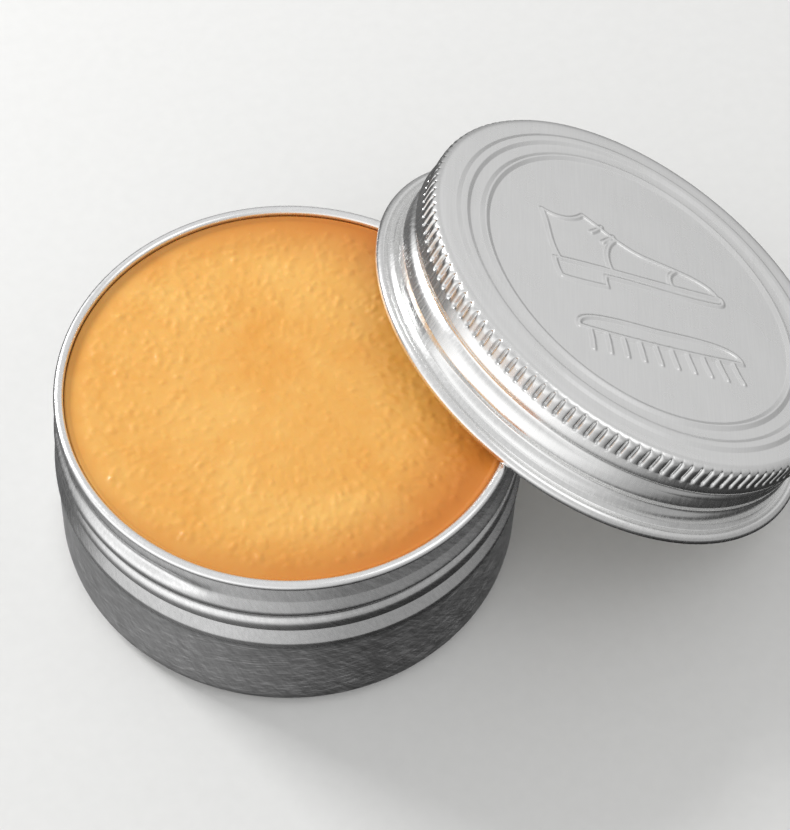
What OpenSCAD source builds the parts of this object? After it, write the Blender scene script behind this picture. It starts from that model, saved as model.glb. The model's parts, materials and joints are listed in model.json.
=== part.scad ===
// Round screw-top tin of shoe polish, open, with its lid leaning on the rim.
// Millimetres, +Z up. The tin stands on z = 0 with its axis on Z, and the lid leans towards +X,
// with its low edge on the table. The lid is drawn on its own axis first, standing on its open
// edge, and then leaned.

/* [Tin] */
// Outer radius of the plain body wall
body_r = 37.8; // [36.5:0.1:38.5]
// Height of the rim above the table
tin_h = 35.2; // [33.5:0.1:35.2]
// Thickness of the drawn sheet, tin and lid alike
sheet = 0.35; // [0.25:0.05:0.4]
// Radius of the corner between the body wall and the bottom
corner_r = 2.2; // [1:0.1:4]
// Radius of the rolled wire-like curl at the rim
rim_curl_r = 0.8; // [0.6:0.05:1]
// Radius of the bead pressed up into the flat bottom
bead_r = 30; // [20:0.5:32]
// How far that bead stands above the table
bead_rise = 0.5; // [0.2:0.1:1]

/* [Polish] */
// How far the polish stops below the top of the rim
fill_drop = 1.2; // [0.8:0.1:10]

/* [Lid] */
// Outer radius of the lid's rolled curl, the widest place on the tin
lid_curl_outer_r = 41.6; // [41.5:0.1:42.5]
// Radius of that curl's tube
lid_curl_r = 1.05; // [0.8:0.05:1.2]
// Height of the lid from its open edge to its flat top
lid_h = 15.7; // [15.6:0.1:18]
// Outer radius of the knurled band
knurl_r = 39.1; // [39:0.1:39.5]
// Number of flutes in the knurled band
knurl_count = 124; // [60:1:140]
// How deep the flutes are pressed
knurl_depth = 0.3; // [0.1:0.05:0.35]
// Radius of the wide outer bead raised in the top
outer_bead_r = 33.7; // [32:0.1:35]
// Radius of the narrow inner bead raised in the top
inner_bead_r = 29.7; // [20:0.1:30.5]
// How far both beads stand above the top
top_bead_rise = 0.35; // [0.2:0.05:0.5]

/* [Liner] */
// Radius of the sealing disc
liner_r = 37.5; // [36:0.1:37.5]
// Thickness of the sealing disc
liner_t = 1.4; // [1:0.1:2]

/* [Leaning lid] */
// Angle between the lid's top and the table
lean_tilt = 29.3; // [29.3:0.1:30.5]
// Distance from the tin's axis to the centre of the lid's open edge
lean_x = 53.7; // [53.7:0.1:57]

/* [Hidden] */
$fn = 96;

// Tin: half the width of the bead in the bottom, and how much wider it is inside per sheet
bead_half = 1;
bead_set = 0.4;
// Tin: heights of the formed bands, measured down from the rim
shoulder_z = tin_h - 17.2;
crease_z = tin_h - 12.9;
band_z = tin_h - 12.3;
thread_z = tin_h - 9.5;
thread_half = 1.4;
band_top_z = tin_h - 6.9;
neck_z = tin_h - 4.9;
curl_low_z = tin_h - 2 * rim_curl_r - 0.4;
// Tin: how far each band stands in or out of the body wall
shoulder_out = 0.25;
crease_in = 0.8;
band_in = 0.2;
thread_in = 0.9;
neck_low_in = 1;
neck_top_in = 1.8;
rim_curl_centre = body_r - neck_top_in - sheet + rim_curl_r;

// Lid: heights above its open edge
lid_curl_centre = lid_curl_outer_r - lid_curl_r;
skirt_r = knurl_r - 0.5;
skirt_foot_r = lid_curl_centre - 0.4;
flute_back_r = knurl_r - 0.6;
lid_thread_in = 0.75;
lid_thread_half = 0.9;
lid_thread_low_z = 4.6;
lid_thread_pitch = 4.2;
plain_band_z = lid_h - 5.8;
knurl_low_z = lid_h - 4;
knurl_high_z = lid_h - 0.6;
shoulder_r = 1.3;
outer_bead_half = 1.4;
inner_bead_half = 1;
top_bead_slope = 0.75;
flute_r = 0.45;
// Gaps that keep pieces apart where they only rest on each other
wax_gap = 0.05;
liner_gap = 0.15;
table_gap = 0.05;

// Height of the centre of the leaning lid's open edge
lean_z = (lid_curl_outer_r - lid_curl_r) * sin(lean_tilt)
    + lid_curl_r * (1 - cos(lean_tilt)) + table_gap;

// Points on an arc about [x, y], from angle a0 to angle a1
function arc(x, y, r, a0, a1, steps = 10) =
    [for (i = [0:steps]) let (a = a0 + (a1 - a0) * i / steps) [x + r * cos(a), y + r * sin(a)]];

// Half outline of the tin's solid form, set in by i from its outer face
function tin_outline(i, top) = concat(
    [[0, i], [bead_r - bead_half - bead_set * i, i]],
    [[bead_r - bead_half / 2 - bead_set * i, bead_rise + i]],
    [[bead_r + bead_half / 2 + bead_set * i, bead_rise + i]],
    [[bead_r + bead_half + bead_set * i, i]],
    arc(body_r - corner_r, corner_r, corner_r - i, -90, 0),
    [[body_r - i, shoulder_z]],
    [[body_r + shoulder_out - i, shoulder_z + 0.7]],
    [[body_r + shoulder_out - i, shoulder_z + 1.7]],
    [[body_r - crease_in - i, crease_z]],
    [[body_r - band_in - i, band_z]],
    [[body_r - band_in - i, thread_z - thread_half]],
    [[body_r - thread_in - i, thread_z]],
    [[body_r - band_in - i, thread_z + thread_half]],
    [[body_r - band_in - i, band_top_z]],
    [[body_r - neck_low_in - i, neck_z]],
    [[body_r - neck_top_in - i, curl_low_z]],
    [[body_r - neck_top_in - i, top], [0, top]]);

// Half outline of the lid's solid form, set in by i from its outer face. Behind the flutes and the
// plain band below them, the inside is one straight wall.
function lid_outline(i) = concat(
    [[0, -1], [skirt_foot_r - i, -1]],
    [[skirt_foot_r - i, lid_curl_r]],
    [[skirt_r + 0.1 - i, lid_curl_r + 1.1]],
    lid_thread(i, lid_thread_low_z),
    lid_thread(i, lid_thread_low_z + lid_thread_pitch),
    [[i > 0 ? flute_back_r - i : knurl_r, plain_band_z]],
    arc((i > 0 ? flute_back_r : knurl_r) - shoulder_r, lid_h - shoulder_r, shoulder_r - i, 0, 90),
    top_bead(outer_bead_r, outer_bead_half, lid_h - i),
    top_bead(inner_bead_r, inner_bead_half, lid_h - i),
    [[0, lid_h - i]]);

// The four points of one bead raised in the lid's top, from its outer foot to its inner foot
function top_bead(r, half, z) = [
    [r + half, z],
    [r + half - top_bead_slope, z + top_bead_rise],
    [r - half + top_bead_slope, z + top_bead_rise],
    [r - half, z]];

// The three points of one thread groove rolled into the lid's skirt
function lid_thread(i, z) = [
    [skirt_r - i, z - lid_thread_half],
    [skirt_r - lid_thread_in - i, z],
    [skirt_r - i, z + lid_thread_half]];

module lean() {
    translate([lean_x, 0, lean_z]) rotate([0, lean_tilt, 0]) children();
}

// A rolled edge: a closed ring of round section
module curl(centre_r, z, r) {
    rotate_extrude() translate([centre_r, z]) circle(r = r);
}

module tin_base() {
    color("silver") {
        difference() {
            rotate_extrude() polygon(tin_outline(0, tin_h - rim_curl_r));
            rotate_extrude() polygon(tin_outline(sheet, tin_h + 1));
        }
        curl(rim_curl_centre, tin_h - rim_curl_r, rim_curl_r);
    }
}

module wax_fill() {
    color("orange") rotate_extrude() intersection() {
        polygon(tin_outline(sheet + wax_gap, tin_h));
        square([body_r + 1, tin_h - fill_drop]);
    }
}

module flutes() {
    for (i = [0:knurl_count - 1])
        rotate([0, 0, 360 * i / knurl_count])
            translate([knurl_r - knurl_depth + flute_r, 0, knurl_low_z])
                cylinder(r = flute_r, h = knurl_high_z - knurl_low_z, $fn = 24);
}

module lid_shell() {
    color("gainsboro") lean() {
        difference() {
            rotate_extrude() intersection() {
                polygon(lid_outline(0));
                translate([0, lid_curl_r]) square([lid_curl_outer_r, lid_h]);
            }
            rotate_extrude() polygon(lid_outline(sheet));
            flutes();
        }
        curl(lid_curl_centre, lid_curl_r, lid_curl_r);
    }
}

module lid_liner() {
    color("white") lean()
        translate([0, 0, lid_h - sheet - liner_gap - liner_t]) cylinder(r = liner_r, h = liner_t);
}

tin_base();
wax_fill();
lid_shell();
lid_liner();
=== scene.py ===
"""Looks for an open screw-top tin of shoe polish, with its lid leaning on the rim.

Meshes are worked out in millimetres and scaled once, when they are made. The tin and the polish
stand on the frame's Z axis. The lid and its liner are made on the lid's own axis, standing on the
lid's open edge, and then leaned as the frame's lid_turn joint says.
"""
import json
import math

import bpy
import numpy as np
from mathutils import Matrix, Vector
from mathutils.geometry import delaunay_2d_cdt


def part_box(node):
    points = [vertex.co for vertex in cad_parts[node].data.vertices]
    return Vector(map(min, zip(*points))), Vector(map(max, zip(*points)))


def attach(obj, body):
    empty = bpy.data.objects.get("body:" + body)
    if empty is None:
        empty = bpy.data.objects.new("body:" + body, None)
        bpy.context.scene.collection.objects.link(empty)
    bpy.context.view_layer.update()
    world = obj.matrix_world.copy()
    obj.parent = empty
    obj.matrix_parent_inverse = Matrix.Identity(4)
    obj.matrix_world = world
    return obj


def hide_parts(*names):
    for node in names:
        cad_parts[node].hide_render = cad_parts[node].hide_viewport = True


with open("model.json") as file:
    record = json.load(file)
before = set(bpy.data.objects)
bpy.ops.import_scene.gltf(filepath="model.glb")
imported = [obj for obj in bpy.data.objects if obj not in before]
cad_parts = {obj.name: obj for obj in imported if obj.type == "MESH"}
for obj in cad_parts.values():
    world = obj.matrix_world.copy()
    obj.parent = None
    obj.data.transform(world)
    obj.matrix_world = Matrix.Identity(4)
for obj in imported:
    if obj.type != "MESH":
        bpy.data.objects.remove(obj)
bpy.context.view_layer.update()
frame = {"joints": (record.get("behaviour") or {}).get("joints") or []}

# Sheet thickness of both shells, seed of the polish's bumps, and columns of each turned mesh
MM = 0.001
SHEET = 0.32
SEED = 7
TIN_COLUMNS = 410
WAX_COLUMNS = 720
LINER_COLUMNS = 240

# Tin, heights above the table
TIN_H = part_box("tin_base")[1].z / MM
BODY_R = 37.8
BODY_TOP_Z = TIN_H - 17.3
CORNER_R = 3.74
BEAD_R = 30.0
BEAD_RISE = 0.5
RIM_CURL_R = 0.8
RIM_CURL_CENTRE = 36.45
RIM_INSIDE_R = RIM_CURL_CENTRE - RIM_CURL_R

# Screw thread: one valley rolled into the neck and one into the lid's skirt, both right-handed.
# It fades in and out over THREAD_FADE of a turn.
THREAD_PITCH = 4.2
THREAD_FADE = 0.06

# Polish, which stands WAX_GAP clear of the tin's inner face
WAX_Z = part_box("wax_fill")[1].z / MM
WAX_WALL_R = RIM_INSIDE_R - 0.03
WAX_GAP = 0.06
WAX_BUMPS = 4200
WAX_BUMPS_R = 32.8
WAX_BUMP_SIZES = (0.36, 0.56)
WAX_BUMP_HEIGHTS = (0.03, 0.13)

# Lid, heights above its open edge. FLUTE_WIDTH is a share of the flutes' pitch, and FLUTE_CROWN
# is how far the metal between two flutes is rounded back.
LID_H = 15.7
LID_CURL_R = 1.05
LID_CURL_CENTRE = 40.55
KNURL_R = 39.1
KNURLS = 124
KNURL_LOW_Z = 11.6
KNURL_HIGH_Z = 15.2
FLUTE_DEPTH = 0.5
FLUTE_WIDTH = 0.115
FLUTE_CROWN = 0.14
OUTER_BEAD_R = 33.68
INNER_BEAD_R = 29.68
TOP_BEAD_RISE = 0.35
PANEL_R = 28.6

# Raised outlines on the lid, and the fine grid that carries them
EMBOSS_RISE = 0.26
EMBOSS_TURN = math.radians(-11)
GRID_HALF_X = 18.6
GRID_LOW_Y = -19.0
GRID_HIGH_Y = 15.6
GRID_STEP = 0.2

# Sealing disc
LINER_R = 37.4
LINER_T = 1.4
LINER_Z = 13.8


# ---------------------------------------------------------------- outlines

def arc(x, y, r, start, end, steps=12):
    """Points on a round stretch about (x, y), from start to end degrees."""
    angles = np.radians(np.linspace(start, end, steps + 1))
    return [(x + r * math.cos(a), y + r * math.sin(a)) for a in angles]


def rounded(corners, steps=5):
    """The outline through corners (x, y, radius), each cut by a smooth curve that starts where a
    circle of that radius would."""
    points = []
    for i, (x, y, radius) in enumerate(corners):
        here = np.array((x, y))
        if radius == 0 or i in (0, len(corners) - 1):
            points.append((x, y))
            continue
        before = np.array(corners[i - 1][:2]) - here
        after = np.array(corners[i + 1][:2]) - here
        before_len, after_len = np.linalg.norm(before), np.linalg.norm(after)
        before, after = before / before_len, after / after_len
        half = math.acos(max(-1.0, min(1.0, float(before @ after)))) / 2
        reach = min(radius / math.tan(half), 0.48 * before_len, 0.48 * after_len)
        for t in np.linspace(0, 1, steps + 1):
            p = here + before * reach * (1 - t) ** 2 + after * reach * t ** 2
            points.append((float(p[0]), float(p[1])))
    return points


def divided(points, longest):
    """The same outline with no step longer than longest(z), z being the step's upper end."""
    out = [points[0]]
    for a, b in zip(points, points[1:]):
        n = max(1, math.ceil(math.dist(a, b) / longest(max(a[1], b[1]))))
        for k in range(1, n + 1):
            out.append((a[0] + (b[0] - a[0]) * k / n, a[1] + (b[1] - a[1]) * k / n))
    return out


def inset(points, distance):
    """The outline moved sideways by distance, to the left of its direction."""
    p = np.array(points)
    step = np.gradient(p, axis=0)
    normal = np.stack([-step[:, 1], step[:, 0]], 1)
    normal /= np.linalg.norm(normal, axis=1)[:, None]
    return [tuple(q) for q in p + normal * distance]


# ---------------------------------------------------------------- meshes

def make_object(name, verts, faces, material, place=None):
    """A smooth-shaded piece from millimetres. place moves the mesh itself, not the object."""
    mesh = bpy.data.meshes.new(name)
    mesh.from_pydata((np.asarray(verts) * MM).tolist(), [], faces)
    if place is not None:
        mesh.transform(place)
    mesh.polygons.foreach_set("use_smooth", [True] * len(mesh.polygons))
    mesh.materials.append(material)
    mesh.validate()
    mesh.update()
    obj = bpy.data.objects.new(name, mesh)
    bpy.context.scene.collection.objects.link(obj)
    return obj


def lathe(outline, angles, shape=None, poles=(True, True)):
    """Vertices and faces of an outline turned about Z.

    shape(r, z, angle) may move the outline, as arrays of rows by columns. A pole closes that end
    of the outline with one vertex on the axis.
    """
    r = np.array([p[0] for p in outline])[:, None] * np.ones(len(angles))
    z = np.array([p[1] for p in outline])[:, None] * np.ones(len(angles))
    turn = np.ones((len(outline), 1)) * angles
    if shape is not None:
        r, z = shape(r, z, turn)
    verts = np.stack([r * np.cos(turn), r * np.sin(turn), z], -1).reshape(-1, 3).tolist()
    rows, columns = r.shape
    faces = []
    for row in range(0, (rows - 1) * columns, columns):
        above = row + columns
        for j in range(columns):
            k = (j + 1) % columns
            faces.append((row + j, row + k, above + k, above + j))
    for at_end in (False, True):
        if poles[at_end]:
            row = (rows - 1 if at_end else 0) * columns
            verts.append((0, 0, float(z[-1 if at_end else 0].mean())))
            pole = len(verts) - 1
            for j in range(columns):
                k = (j + 1) % columns
                faces.append((row + j, row + k, pole) if at_end else (row + k, row + j, pole))
    return verts, faces


def even_angles(n):
    """Columns all the same angle apart."""
    return np.linspace(0, 2 * math.pi, n, endpoint=False)


def smooth(value):
    """A rounded step from 0 to 1 as value goes from 0 to 1, and flat beyond."""
    value = np.clip(value, 0, 1)
    return value * value * (3 - 2 * value)


def valley(z, angle, start_turn, turns, z_start, depth, half_width):
    """How deep a helical valley is at height z and angle. It begins at start_turn, in turns, and
    rises one pitch a turn, fading in and out at its ends."""
    deep = np.zeros_like(z)
    for lap in range(math.ceil(turns) + 1):
        along = (angle / (2 * math.pi) - start_turn) % 1 + lap
        centre = z_start + THREAD_PITCH * along
        fade = np.clip(along / THREAD_FADE, 0, 1) * np.clip((turns - along) / THREAD_FADE, 0, 1)
        deep = np.maximum(deep, depth * smooth(fade) * np.exp(-((z - centre) / half_width) ** 2))
    return deep


# ---------------------------------------------------------------- materials

def new_material(name):
    """A material, its node tree and its Principled shader."""
    material = bpy.data.materials.new(name)
    material.use_nodes = True
    tree = material.node_tree
    return material, tree, tree.nodes["Principled BSDF"]


def own_coords(tree):
    """The piece's own coordinates, which are the frame's at rest."""
    return tree.nodes.new("ShaderNodeTexCoord").outputs["Object"]


def turned(tree, vector, place=(0, 0, 0), turn=(0, 0, 0), size=(1, 1, 1)):
    """vector seen from axes that stand at place, are turned by turn and are scaled by size."""
    node = tree.nodes.new("ShaderNodeMapping")
    node.vector_type = "TEXTURE"
    node.inputs["Location"].default_value = place
    node.inputs["Rotation"].default_value = turn
    node.inputs["Scale"].default_value = size
    tree.links.new(vector, node.inputs["Vector"])
    return node.outputs["Vector"]


def lid_coords(tree):
    """Coordinates on the lid's own axis, from its open edge up."""
    place, _, _ = lid_place().decompose()
    return turned(tree, own_coords(tree), place, (0, lid_tilt(), 0))


def part_of(tree, vector, name):
    """The X, Y or Z of vector."""
    node = tree.nodes.new("ShaderNodeSeparateXYZ")
    tree.links.new(vector, node.inputs["Vector"])
    return node.outputs[name]


def noise(tree, vector, grain, detail=3.0, roughness=0.5, turn=(0, 0, 0), distortion=0.0):
    """A noise whose grain is this many millimetres along x, y and z of the turned axes."""
    texture = tree.nodes.new("ShaderNodeTexNoise")
    texture.inputs["Scale"].default_value = 1
    texture.inputs["Detail"].default_value = detail
    texture.inputs["Roughness"].default_value = roughness
    texture.inputs["Distortion"].default_value = distortion
    size = tuple(g * MM for g in grain)
    tree.links.new(turned(tree, vector, turn=turn, size=size), texture.inputs["Vector"])
    return texture.outputs["Fac"]


def twisted(tree, vector, lean):
    """vector turned about Z in step with its height, so that upright grain leans sideways."""
    node = tree.nodes.new("ShaderNodeVectorRotate")
    node.rotation_type = "Z_AXIS"
    tree.links.new(vector, node.inputs["Vector"])
    tree.links.new(multiply(tree, part_of(tree, vector, "Z"), lean), node.inputs["Angle"])
    return node.outputs["Vector"]


def spread(tree, value, low, high, to_low=0.0, to_high=1.0):
    """value from low..high taken to to_low..to_high."""
    node = tree.nodes.new("ShaderNodeMapRange")
    tree.links.new(value, node.inputs["Value"])
    for key, number in zip(("From Min", "From Max", "To Min", "To Max"), (low, high, to_low, to_high)):
        node.inputs[key].default_value = number
    return node.outputs["Result"]


def blend_colours(tree, factor, first, second):
    """first where factor is 0 and second where it is 1. Each is a colour or a socket."""
    node = tree.nodes.new("ShaderNodeMix")
    node.data_type = "RGBA"
    tree.links.new(factor, node.inputs["Factor"])
    for socket, colour in ((6, first), (7, second)):
        if isinstance(colour, tuple):
            node.inputs[socket].default_value = (*colour, 1)
        else:
            tree.links.new(colour, node.inputs[socket])
    return node.outputs[2]


def band(tree, length, start, end):
    """Goes from 0 where length is start to 1 where it is end, both in millimetres."""
    return spread(tree, length, start * MM, end * MM)


def distance_from(tree, vector, x, y):
    """How far vector is from an upright line at x, y in millimetres."""
    flat = tree.nodes.new("ShaderNodeVectorMath")
    flat.operation = "MULTIPLY"
    flat.inputs[1].default_value = (1, 1, 0)
    length = tree.nodes.new("ShaderNodeVectorMath")
    length.operation = "LENGTH"
    tree.links.new(turned(tree, vector, (x * MM, y * MM, 0)), flat.inputs[0])
    tree.links.new(flat.outputs["Vector"], length.inputs[0])
    return length.outputs["Value"]


def multiply(tree, a, b):
    """a times b, each a number or a socket."""
    node = tree.nodes.new("ShaderNodeMath")
    node.operation = "MULTIPLY"
    for socket, value in enumerate((a, b)):
        if isinstance(value, (int, float)):
            node.inputs[socket].default_value = value
        else:
            tree.links.new(value, node.inputs[socket])
    return node.outputs[0]


def add(tree, a, b):
    """The sum of two sockets."""
    node = tree.nodes.new("ShaderNodeMath")
    tree.links.new(a, node.inputs[0])
    tree.links.new(b, node.inputs[1])
    return node.outputs[0]


def mix_values(tree, factor, first, second):
    """first where factor is 0 and second where it is 1, all of them sockets."""
    node = tree.nodes.new("ShaderNodeMix")
    for socket, value in ((0, factor), (2, first), (3, second)):
        tree.links.new(value, node.inputs[socket])
    return node.outputs[0]


def add_bump(tree, shader, heights):
    """Chains bumps of (height, strength, distance in mm) into the shader's normal."""
    normal = None
    for height, strength, distance in heights:
        node = tree.nodes.new("ShaderNodeBump")
        node.inputs["Strength"].default_value = strength
        node.inputs["Distance"].default_value = distance * MM
        tree.links.new(height, node.inputs["Height"])
        if normal is not None:
            tree.links.new(normal, node.inputs["Normal"])
        normal = node.outputs["Normal"]
    tree.links.new(normal, shader.inputs["Normal"])


def tin_aluminium():
    """Satin drawn sheet: fine marks that lean a little, a duller body with light scuffs that run round
    it, and a curl painted lighter as a painted highlight."""
    material, tree, shader = new_material("tin_aluminium")
    shader.inputs["Metallic"].default_value = 1
    coords = own_coords(tree)
    height = part_of(tree, coords, "Z")

    drawn = noise(tree, twisted(tree, coords, 9.0), (0.42, 0.42, 5.5), 3, 0.55)
    marks = noise(tree, twisted(tree, coords, 26.0), (0.55, 0.55, 3.0), 3, 0.6)
    scuffs = noise(tree, twisted(tree, coords, -200.0), (1.6, 1.6, 0.24), 3, 0.6)
    mottle = noise(tree, coords, (9, 9, 9), 4, 0.6)

    body = band(tree, height, BODY_TOP_Z + 0.3, BODY_TOP_Z - 0.7)
    curl_low_z = TIN_H - 2 * RIM_CURL_R - 0.1
    curl = band(tree, height, curl_low_z, curl_low_z + 0.5)
    scuffed = multiply(tree, spread(tree, scuffs, 0.5, 0.72), body)

    tone = multiply(tree, spread(tree, drawn, 0.3, 0.7, 0.8, 1.0),
                    spread(tree, marks, 0.3, 0.7, 0.93, 1.0))
    tone = multiply(tree, tone, spread(tree, mottle, 0.35, 0.65, 0.92, 1))
    tone = multiply(tree, tone, spread(tree, body, 0, 1, 1, 0.92))
    colour = blend_colours(tree, tone, (0.2, 0.2, 0.2), (0.86, 0.86, 0.86))
    # The scuffs are real wear. The curl is painted lighter, a painted highlight for the rolled rim
    # catching the light.
    scuffs_and_curl_highlight = add(tree, scuffed, multiply(tree, curl, 0.85))
    colour = blend_colours(tree, scuffs_and_curl_highlight, colour, (0.94, 0.94, 0.94))
    tree.links.new(colour, shader.inputs["Base Color"])

    rough = add(tree, spread(tree, marks, 0.35, 0.7, 0.22, 0.34), multiply(tree, scuffed, 0.2))
    rough = add(tree, rough, multiply(tree, body, 0.1))
    tree.links.new(rough, shader.inputs["Roughness"])
    add_bump(tree, shader, [(drawn, 0.08, 0.012), (marks, 0.06, 0.012), (scuffed, 0.06, 0.02)])
    return material


def lid_aluminium():
    """Brighter sheet: straight brushing across the top, marks along the axis on the wall, and painted
    shade on the grip, whose band is darkened in colour."""
    material, tree, shader = new_material("lid_aluminium")
    shader.inputs["Metallic"].default_value = 1
    coords = lid_coords(tree)
    height = part_of(tree, coords, "Z")

    across = noise(tree, coords, (9.0, 0.3, 2.0), 3, 0.55, (0, 0, math.radians(63)))
    along = noise(tree, twisted(tree, coords, 4.0), (0.42, 0.42, 5.5), 3, 0.55)
    mottle = noise(tree, coords, (11, 11, 11), 4, 0.6)

    on_top = band(tree, height, LID_H - 0.7, LID_H - 0.1)
    grip_shade = multiply(tree, band(tree, height, KNURL_LOW_Z - 0.2, KNURL_LOW_Z + 0.2),
                    band(tree, height, KNURL_HIGH_Z + 0.1, KNURL_HIGH_Z - 0.2))

    tone = mix_values(tree, on_top, spread(tree, along, 0.3, 0.7, 0.86, 1.0),
                      spread(tree, across, 0.3, 0.7, 0.93, 1.0))
    tone = multiply(tree, tone, spread(tree, mottle, 0.35, 0.65, 0.95, 1))
    # Painted shade: the grip's band is darkened in colour to stand in for the shade on its flutes.
    tone = multiply(tree, tone, spread(tree, grip_shade, 0, 1, 1, 0.72))
    colour = blend_colours(tree, tone, (0.3, 0.3, 0.3), (0.9, 0.9, 0.895))
    tree.links.new(colour, shader.inputs["Base Color"])

    rough = mix_values(tree, on_top, spread(tree, along, 0.35, 0.7, 0.2, 0.3),
                       spread(tree, mottle, 0.35, 0.7, 0.26, 0.32))
    tree.links.new(rough, shader.inputs["Roughness"])
    add_bump(tree, shader, [(mix_values(tree, on_top, along, across), 0.1, 0.01)])
    return material


def polish_wax():
    """Honey wax: cloudy in the middle, with a fine grain. Its colour deepens towards the wall and most
    of all on the lid's side, where the deep orange is painted shade of the lid."""
    material, tree, shader = new_material("polish_wax")
    coords = own_coords(tree)
    cloud = noise(tree, coords, (19, 19, 19), 3, 0.5, distortion=0.5)
    patch = noise(tree, coords, (3.2, 3.2, 3.2), 3, 0.55)
    grain = noise(tree, coords, (0.55, 0.55, 0.55), 2, 0.5)
    warm = add(tree, multiply(tree, spread(tree, cloud, 0.32, 0.68), 0.75),
               multiply(tree, spread(tree, patch, 0.3, 0.7), 0.25))
    honey = blend_colours(tree, warm, (0.745, 0.335, 0.058), (0.82, 0.465, 0.122))
    # Painted shade: this deep orange mask is centred off towards -X, so it is strongest on the lid's
    # side and stands in for the lid's shadow on the polish. It also deepens the colour towards the
    # wall.
    edge = band(tree, distance_from(tree, coords, -6, 2), 26.5, 37.5)
    colour = blend_colours(tree, edge, honey, (0.58, 0.195, 0.027))
    tree.links.new(colour, shader.inputs["Base Color"])
    shader.inputs["Subsurface Weight"].default_value = 0.2
    shader.inputs["Subsurface Radius"].default_value = (1.0, 0.35, 0.08)
    shader.inputs["Subsurface Scale"].default_value = 0.0015
    shader.inputs["Specular IOR Level"].default_value = 0.4
    tree.links.new(spread(tree, grain, 0.3, 0.7, 0.3, 0.44), shader.inputs["Roughness"])
    add_bump(tree, shader, [(patch, 0.2, 0.2), (grain, 0.3, 0.04)])
    return material


def liner_foam():
    """White closed-cell foam."""
    material, tree, shader = new_material("liner_foam")
    coords = lid_coords(tree)
    cells_per_metre = 2600
    cells = tree.nodes.new("ShaderNodeTexVoronoi")
    cells.inputs["Scale"].default_value = cells_per_metre
    tree.links.new(coords, cells.inputs["Vector"])
    soft = noise(tree, coords, (8, 8, 8), 3, 0.5)
    tone = blend_colours(tree, soft, (0.78, 0.78, 0.74), (0.90, 0.90, 0.87))
    tree.links.new(tone, shader.inputs["Base Color"])
    tree.links.new(spread(tree, soft, 0.3, 0.7, 0.7, 0.85), shader.inputs["Roughness"])
    add_bump(tree, shader, [(cells.outputs["Distance"], 0.35, 0.08)])
    return material


def floor_material():
    """Pale matt paper."""
    material, tree, shader = new_material("floor_matt")
    grain = noise(tree, own_coords(tree), (2.5, 2.5, 2.5), 3, 0.5)
    colour = blend_colours(tree, grain, (0.70, 0.70, 0.69), (0.74, 0.74, 0.73))
    tree.links.new(colour, shader.inputs["Base Color"])
    shader.inputs["Roughness"].default_value = 0.75
    return material


# ---------------------------------------------------------------- tin

def tin_wall():
    """Outer outline of the tin, from the middle of its bottom to the underside of the curl."""
    return rounded([
        # flat bottom with a ring bead pressed up into it
        (8, 0, 0), (BEAD_R - 1, 0, 0.5), (BEAD_R - 0.5, BEAD_RISE, 0.4),
        (BEAD_R + 0.5, BEAD_RISE, 0.4), (BEAD_R + 1, 0, 0.5),
        # round corner and plain body
        (BODY_R, 0, CORNER_R), (BODY_R, BODY_TOP_Z, 0.25),
        # shoulder band, which stands proud and then slopes in to a groove
        (BODY_R + 0.25, TIN_H - 16.7, 0.4), (BODY_R + 0.25, TIN_H - 15.7, 1.0),
        (BODY_R - 0.85, TIN_H - 12.9, 0.15), (BODY_R - 0.2, TIN_H - 12.25, 0.4),
        # neck, which carries the thread and is drawn in under the curl
        (BODY_R - 0.15, TIN_H - 7.2, 1.8), (BODY_R - 0.9, TIN_H - 4.9, 2.0),
        (BODY_R - 1.8, TIN_H - 1.46, 0)])


def tin_step(z):
    """Longest step of the tin's outline: short where the thread is rolled in."""
    return 0.4 if z > TIN_H - 13 else 3.0


def neck_thread(z, angle):
    """How deep the thread's valley is in the neck."""
    return valley(z, angle, start_turn=-0.623, turns=1.28, z_start=TIN_H - 10.55, depth=0.75,
                  half_width=0.85)


def make_tin(material):
    """One sheet from the middle of the bottom up the outside, over the curl and back inside."""
    wall = divided(tin_wall(), tin_step)
    # the flat middle of the bottom needs no rows of its own
    wall = [wall[0]] + [p for p in wall if p[0] > BEAD_R - 2]
    curl_z = TIN_H - RIM_CURL_R
    curl = arc(RIM_CURL_CENTRE, curl_z, RIM_CURL_R, -124, 180, 22)
    # the inner face starts below the curl
    inside = [p for p in inset(wall, SHEET) if p[1] < curl_z - 1.9][::-1]
    outline = wall + curl + [(RIM_INSIDE_R, curl_z - 0.5)] + inside

    def press(r, z, angle):
        on_wall = r > BEAD_R
        return r - np.where(on_wall, neck_thread(z, angle), 0), z

    verts, faces = lathe(outline, even_angles(TIN_COLUMNS), press)
    obj = make_object("tin_shell", verts, faces, material)
    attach(obj, "tin")
    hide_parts("tin_base")
    return obj


# ---------------------------------------------------------------- polish

def wax_bumps(x, y):
    """Height of the skin of small bumps and pits, lower in the middle and gone near the wall."""
    rng = np.random.default_rng(SEED)
    radius = WAX_BUMPS_R * np.sqrt(rng.random(WAX_BUMPS))
    turn = 2 * math.pi * rng.random(WAX_BUMPS)
    size = rng.uniform(*WAX_BUMP_SIZES, WAX_BUMPS)
    tall = rng.uniform(*WAX_BUMP_HEIGHTS, WAX_BUMPS)
    tall *= rng.choice((-0.5, 1, 1), WAX_BUMPS)
    tall *= 0.5 + 0.5 * smooth((radius - 10) / 14)
    height = np.zeros_like(x)
    for cx, cy, s, h in zip(radius * np.cos(turn), radius * np.sin(turn), size, tall):
        near = (np.abs(x - cx) < 3 * s) & (np.abs(y - cy) < 3 * s)
        height[near] += h * np.exp(-((x[near] - cx) ** 2 + (y[near] - cy) ** 2) / s ** 2)
    return height


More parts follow.
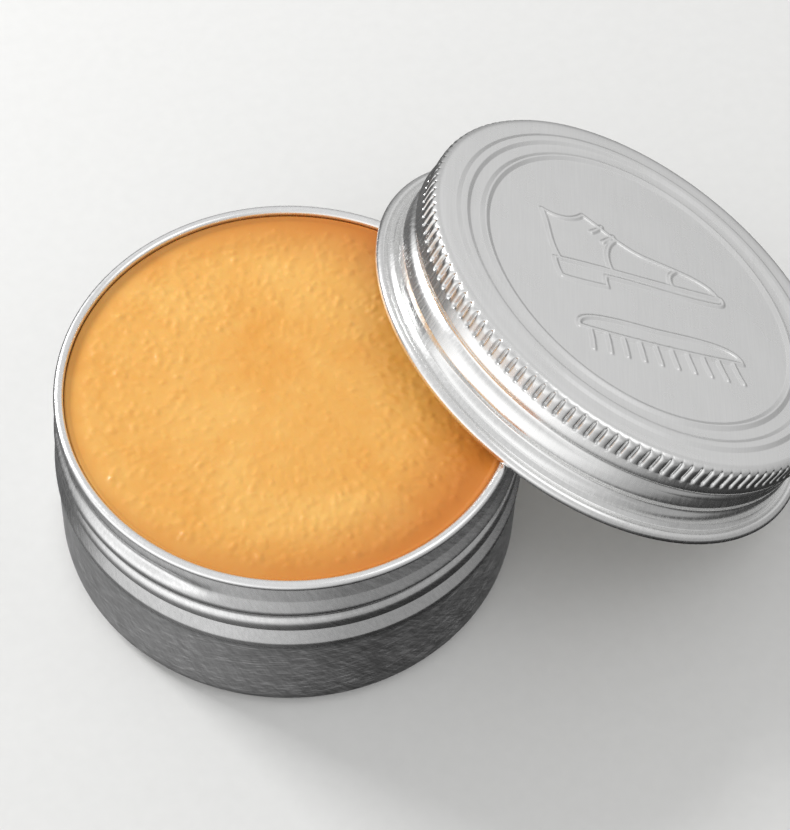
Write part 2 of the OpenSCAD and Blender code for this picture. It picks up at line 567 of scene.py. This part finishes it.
def wax_level(x, y, r):
    """How far the top is from WAX_Z: its edge reaches it at the wall, and inside that come a soft
    ring, a slow wave and a slight dish in the middle."""
    edge = 0.25 * np.exp(-((WAX_WALL_R - r) / 0.9) ** 2)
    ring = 0.07 * np.exp(-((r - 31.6) / 1.2) ** 2)
    dish = 0.10 * np.exp(-(r / 16) ** 2)
    wave = 0.05 * np.sin(x / 6 + 1) * np.cos(y / 7)
    return edge - 0.25 + ring - dish + wave


def make_wax(material):
    """The polish as it was poured: its side follows the tin's inside."""
    side = inset(divided(tin_wall(), tin_step), SHEET + WAX_GAP)
    side = [p for p in side if p[1] < WAX_Z - 1.5]
    edge = arc(WAX_WALL_R - 0.5, WAX_Z - 0.25, 0.5, 0, 90, 4)
    top = [(r, WAX_Z) for r in np.arange(WAX_WALL_R - 0.85, 0.3, -0.28)]
    outline = side + [(WAX_WALL_R, WAX_Z - 0.9)] + edge + top

    def skin(r, z, angle):
        on_side = (r > BEAD_R) & (z < WAX_Z - 1)
        on_top = z > WAX_Z - 0.3
        r = r - np.where(on_side, neck_thread(z, angle), 0)
        x, y = r * np.cos(angle), r * np.sin(angle)
        lift = np.where(on_top, wax_level(x, y, r), 0)
        lift[on_top] += wax_bumps(x[on_top], y[on_top])
        return r, z + lift

    verts, faces = lathe(outline, even_angles(WAX_COLUMNS), skin)
    obj = make_object("polish_fill", verts, faces, material)
    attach(obj, "tin")
    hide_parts("wax_fill")
    return obj


# ---------------------------------------------------------------- lid

def lid_joint():
    """The frame's joint that stands on the lid's own axis."""
    return next(j for j in frame["joints"] if j["name"] == "lid_turn")


def lid_tilt():
    """How far the lid's axis leans towards +X."""
    axis = lid_joint()["axis"]
    return math.atan2(axis[0], axis[2])


def lid_place():
    """Where the lid's own axis stands in the frame."""
    return Matrix.Translation(lid_joint()["pos_m"]) @ Matrix.Rotation(lid_tilt(), 4, "Y")


def top_bead(radius, flat):
    """Corners of one bead raised in the lid's top, from the inside out."""
    slope = 0.75
    high = LID_H + TOP_BEAD_RISE
    return [
        (radius - flat / 2 - slope, LID_H, 0.4), (radius - flat / 2, high, 0.4),
        (radius + flat / 2, high, 0.4), (radius + flat / 2 + slope, LID_H, 0.4)]


def lid_wall():
    """Outer outline of the lid, from the panel's edge over the top and down to the curl."""
    return rounded([
        # top with its two raised rings
        (PANEL_R, LID_H, 0), *top_bead(INNER_BEAD_R, 0.3), *top_bead(OUTER_BEAD_R, 1.1),
        # round shoulder and the band of the grip
        (KNURL_R + 0.05, LID_H, 1.7), (KNURL_R - 0.12, 11.7, 0.4), (KNURL_R + 0.02, 9.75, 0.2),
        # groove under the grip, then the skirt that carries the thread
        (KNURL_R - 0.5, 9.2, 0.4), (KNURL_R - 0.65, 8.0, 0.8), (KNURL_R - 0.25, 5.2, 0.8),
        (KNURL_R - 0.3, 4.2, 0.6), (KNURL_R - 0.1, 2.5, 0.6),
        # foot that flares into the curl
        (39.64, 1.575, 0)])


def lid_step(z):
    """Longest step of the lid's outline: short on the wall, which carries thread and flutes."""
    return 0.34 if z < LID_H - 0.3 else 1.6


def knurl_angles():
    """Columns crowded about each flute, which sits at the middle of its pitch."""
    shares = np.array([-0.5, -0.33, -0.2, -0.13, -0.07, 0, 0.07, 0.13, 0.2, 0.33])
    return ((np.arange(KNURLS)[:, None] + shares) * 2 * math.pi / KNURLS).ravel()


def lid_form(r, z, angle):
    """Presses the flutes and the thread's valley into the lid's wall, outside and inside."""
    across = angle * KNURLS / (2 * math.pi)
    across = across - np.round(across)
    flute = FLUTE_DEPTH * np.exp(-(across / FLUTE_WIDTH) ** 2)
    flute = flute + FLUTE_CROWN * (1 - 2 * np.abs(across)) ** 2
    zone = smooth((z - KNURL_LOW_Z) / 0.45) * smooth((KNURL_HIGH_Z - z) / 0.45)
    thread = valley(z, angle, start_turn=0.514, turns=1.45, z_start=4.15, depth=0.45,
                    half_width=0.75)
    on_wall = r > KNURL_R - 1.6
    return r - np.where(on_wall, flute * zone + thread, 0), z


def bezier(points, steps=24):
    """Points on a cubic curve."""
    t = np.linspace(0, 1, steps + 1)[:, None]
    p0, p1, p2, p3 = (np.array(p, float) for p in points)
    return p0 * (1 - t) ** 3 + 3 * p1 * t * (1 - t) ** 2 + 3 * p2 * t ** 2 * (1 - t) + p3 * t ** 3


def moved(strokes, dx, dy, size):
    """The strokes scaled by size and then moved."""
    return [stroke * size + np.array((dx, dy)) for stroke in strokes]


def shoe_strokes():
    """A plain laced shoe seen from the side, as the strokes of its outline."""
    return [
        bezier([(-12.6, -3.6), (-13.6, -0.5), (-12.4, 2.6), (-12.8, 5.6)]),
        bezier([(-12.8, 5.6), (-10.5, 4.4), (-8.2, 4.6), (-6.0, 6.4)]),
        bezier([(-6.0, 6.4), (-3.4, 4.6), (-1.4, 2.2), (2.2, 1.0)]),
        bezier([(2.2, 1.0), (7.0, -0.2), (12.6, -0.6), (13.4, -3.6)]),
        bezier([(-13.4, -3.6), (-6.0, -3.2), (4.0, -3.9), (13.9, -3.6)]),
        bezier([(13.9, -3.6), (14.3, -4.4), (13.8, -5.0), (12.8, -5.1)]),
        bezier([(12.8, -5.1), (6.0, -5.6), (0.0, -4.6), (-5.6, -4.9)]),
        bezier([(-5.6, -4.9), (-6.0, -5.6), (-6.0, -6.2), (-6.0, -6.9)]),
        bezier([(-6.0, -6.9), (-8.5, -7.1), (-11.0, -7.1), (-13.3, -6.9)]),
        bezier([(-13.3, -6.9), (-13.6, -5.8), (-13.6, -4.6), (-13.4, -3.6)]),
        bezier([(7.4, -0.3), (5.9, -1.1), (5.4, -2.4), (5.8, -3.6)]),
        bezier([(-1.6, 2.9), (-3.6, 1.6), (-4.6, -0.8), (-4.2, -3.5)]),
        bezier([(-5.4, 3.4), (-4.6, 3.9), (-3.9, 4.4), (-3.3, 5.0)], 6),
        bezier([(-4.0, 1.9), (-3.2, 2.5), (-2.5, 3.0), (-1.8, 3.6)], 6),
    ]


def brush_strokes():
    """A plain shoe brush seen from the side: a curved back over a row of bristles."""
    back = [
        bezier([(-15.5, 0.2), (-15.5, 3.6), (-8.0, 3.2), (0.0, 3.0)]),
        bezier([(0.0, 3.0), (8.0, 3.2), (15.5, 3.6), (15.5, 0.2)]),
        bezier([(-15.5, 0.2), (-6.0, -0.5), (6.0, -0.5), (15.5, 0.2)]),
    ]
    tufts = [bezier([(x, -0.2), (x * 1.01, -1.6), (x * 1.02, -2.8), (x * 1.05, -4.2)], 6)
             for x in np.linspace(-13.5, 13.5, 10)]
    return back + tufts


def emboss_height(x, y):
    """Height of the raised outlines at each point of the panel."""
    nearest = np.full(x.shape, np.inf)
    for stroke in moved(shoe_strokes(), 0, 6.5, 1.24) + moved(brush_strokes(), 0, -13.2, 1.06):
        for a, b in zip(stroke, stroke[1:]):
            ab = b - a
            t = np.clip(((x - a[0]) * ab[0] + (y - a[1]) * ab[1]) / (ab @ ab), 0, 1)
            nearest = np.minimum(nearest, np.hypot(x - a[0] - t * ab[0], y - a[1] - t * ab[1]))
    return EMBOSS_RISE * smooth((0.6 - nearest) / 0.4)


def add_panel(verts, faces, ring):
    """Closes the ring with the flat panel: a fine grid that carries the outlines, and plain
    metal from the grid's edge out to the ring."""
    nx = round(2 * GRID_HALF_X / GRID_STEP) + 1
    ny = round((GRID_HIGH_Y - GRID_LOW_Y) / GRID_STEP) + 1
    grid_x = np.linspace(-GRID_HALF_X, GRID_HALF_X, nx)
    grid_y = np.linspace(GRID_LOW_Y, GRID_HIGH_Y, ny)
    gx, gy = np.meshgrid(grid_x, grid_y, indexing="ij")
    cos, sin = math.cos(EMBOSS_TURN), math.sin(EMBOSS_TURN)
    grid = [gx * cos - gy * sin, gx * sin + gy * cos, LID_H + emboss_height(gx, gy)]
    first = len(verts)
    verts += np.stack(grid, -1).reshape(-1, 3).tolist()
    for i in range(nx - 1):
        for j in range(ny - 1):
            a = first + i * ny + j
            faces.append((a, a + 1, a + ny + 1, a + ny))

    border = [i * ny for i in range(nx)]
    border += [(nx - 1) * ny + j for j in range(1, ny)]
    border += [i * ny + ny - 1 for i in range(nx - 2, -1, -1)]
    border += list(range(ny - 2, 0, -1))
    ids = list(ring) + [first + b for b in border]
    flat = [Vector(verts[i][:2]) for i in ids]
    n, m = len(ring), len(border)
    edges = [(i, (i + 1) % n) for i in range(n)]
    edges += [(n + i, n + (i + 1) % m) for i in range(m)]
    _, _, triangles, origin, _, _ = delaunay_2d_cdt(flat, edges, [], 0, 1e-7)
    for triangle in triangles:
        corners = [ids[origin[v][0]] for v in triangle]
        x, y = np.mean([verts[i][:2] for i in corners], axis=0)
        in_grid = abs(x * cos + y * sin) <= GRID_HALF_X and GRID_LOW_Y < y * cos - x * sin < GRID_HIGH_Y
        if not in_grid:
            faces.append(tuple(corners)[::-1])


def make_lid(material, place):
    """One sheet from the panel's edge down the outside, round the curl and back up inside."""
    wall = divided(lid_wall(), lid_step)
    curl = arc(LID_CURL_CENTRE, LID_CURL_R, LID_CURL_R, 150, -180, 22)[1:]
    # the inner face starts above the curl, with half the rows of the outer one
    inside = [p for p in inset(wall, -SHEET) if p[1] > 2.2][::-1][::2]
    outline = wall + curl + inside
    angles = knurl_angles()
    verts, faces = lathe(outline, angles, lid_form, poles=(False, True))
    add_panel(verts, faces, range(len(angles)))
    faces = [f[::-1] for f in faces]
    obj = make_object("lid_cover", verts, faces, material, place)
    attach(obj, "lid")
    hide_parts("lid_shell")
    return obj


def make_liner(material, place):
    """A soft disc seated in the lid's top, with its lower edge pressed round."""
    outline = rounded([
        (6, LINER_Z, 0), (LINER_R - 1.2, LINER_Z, 0.6), (LINER_R, LINER_Z + 0.15, 0.5),
        (LINER_R, LINER_Z + LINER_T, 0.3), (6, LINER_Z + LINER_T, 0)])
    verts, faces = lathe(divided(outline, lambda z: 2.0), even_angles(LINER_COLUMNS))
    obj = make_object("seal_disc", verts, faces, material, place)
    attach(obj, "lid_seal")
    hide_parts("lid_liner")
    return obj


# ---------------------------------------------------------------- stage

def make_floor():
    """A wide plain floor just under the tin. The metal doesn't mirror it."""
    size, low = 3.0, -0.0002
    corners = [(-size, -size, low), (size, -size, low), (size, size, low), (-size, size, low)]
    mesh = bpy.data.meshes.new("floor")
    mesh.from_pydata(corners, [], [(0, 1, 2, 3)])
    mesh.materials.append(floor_material())
    floor = bpy.data.objects.new("floor", mesh)
    bpy.context.scene.collection.objects.link(floor)
    floor.visible_glossy = False


def make_camera():
    """Looks down on the tin from the front left."""
    elevation = math.radians(54.90)
    azimuth = math.radians(-24.32)
    roll = math.radians(3.53)
    distance = 0.43009
    target = Vector((0.01715, -0.0032, 0.02307))
    turn = Matrix.Rotation(azimuth, 3, "Z")
    back = turn @ Vector((0, -math.cos(elevation), math.sin(elevation)))
    right = turn @ Vector((1, 0, 0))
    up = back.cross(right)
    rolled_right = right * math.cos(roll) + up * math.sin(roll)
    rolled_up = up * math.cos(roll) - right * math.sin(roll)
    data = bpy.data.cameras.new("camera")
    data.lens = 114.56
    data.sensor_width = 36
    data.clip_start = 0.01
    camera = bpy.data.objects.new("camera", data)
    rotation = Matrix((rolled_right, rolled_up, back)).transposed().to_4x4()
    camera.matrix_world = Matrix.Translation(target + back * distance) @ rotation
    bpy.context.scene.collection.objects.link(camera)
    bpy.context.scene.camera = camera


def area_light(name, place, aim, size, energy):
    """A white rectangular lamp at place, facing aim."""
    data = bpy.data.lights.new(name, "AREA")
    data.shape = "RECTANGLE"
    data.size, data.size_y = size
    data.energy = energy
    light = bpy.data.objects.new(name, data)
    light.location = place
    light.rotation_euler = (Vector(aim) - Vector(place)).to_track_quat("-Z", "Y").to_euler()
    bpy.context.scene.collection.objects.link(light)


def sky_ramp(tree, height, stops):
    """A grey that follows the height of a direction, from stops of (height, grey)."""
    node = tree.nodes.new("ShaderNodeValToRGB")
    tree.links.new(spread(tree, height, -1, 1), node.inputs["Fac"])
    elements = node.color_ramp.elements
    while len(elements) < len(stops):
        elements.new(0.5)
    for element, (z, grey) in zip(elements, stops):
        element.position = (z + 1) / 2
        element.color = (grey, grey, grey, 1)
    return node.outputs["Color"]


def make_world():
    """A studio seen in the metal: a bright window low on the left, a dark corner behind it, and
    a plain front and right that are pale above and fall to dark below."""
    world = bpy.data.worlds.new("studio")
    world.use_nodes = True
    tree = world.node_tree
    direction = tree.nodes.new("ShaderNodeTexCoord").outputs["Generated"]
    x, y, height = (part_of(tree, direction, axis) for axis in "XYZ")

    window = sky_ramp(tree, height, [
        (-1, 0.2), (-0.8, 0.36), (-0.6, 0.55), (-0.42, 0.85), (-0.2, 1.15),
        (0, 1.8), (0.22, 1.5), (0.5, 1.1), (1, 0.85)])
    front = sky_ramp(tree, height, [
        (-1, 0.02), (-0.8, 0.045), (-0.52, 0.09), (-0.4, 0.46), (-0.2, 0.46),
        (0, 0.45), (0.22, 0.68), (0.5, 0.74), (1, 0.85)])
    corner = sky_ramp(tree, height, [
        (-1, 0.16), (-0.8, 0.2), (-0.5, 0.14), (-0.2, 0.1),
        (0, 0.16), (0.18, 0.8), (0.5, 1.0), (1, 0.85)])

    sky = blend_colours(tree, spread(tree, x, -0.9, 0.05), window, front)
    in_corner = multiply(tree, spread(tree, y, 0.12, 0.48), spread(tree, x, 0.3, -0.2))
    sky = blend_colours(tree, in_corner, sky, corner)
    background = tree.nodes["Background"]
    tree.links.new(sky, background.inputs["Color"])
    background.inputs["Strength"].default_value = 0.85
    bpy.context.scene.world = world


def make_lights():
    """A key lamp behind on the left, a soft fill above on the right and a glow for the lid's top."""
    middle = (0.02, 0, 0.02)
    area_light("key", (-0.36, 0.50, 0.42), middle, (0.22, 0.16), 3.65)
    area_light("fill", (0.45, -0.35, 0.8), middle, (0.6, 0.6), 0.8)
    area_light("lid_panel", (0.85, 0.55, 0.26), (0.055, 0, 0.03), (0.6, 0.6), 0.2)


bpy.context.scene.view_settings.view_transform = "Standard"
make_camera()
make_world()
make_lights()
make_floor()
place = lid_place()
make_tin(tin_aluminium())
make_wax(polish_wax())
make_lid(lid_aluminium(), place)
make_liner(liner_foam(), place)
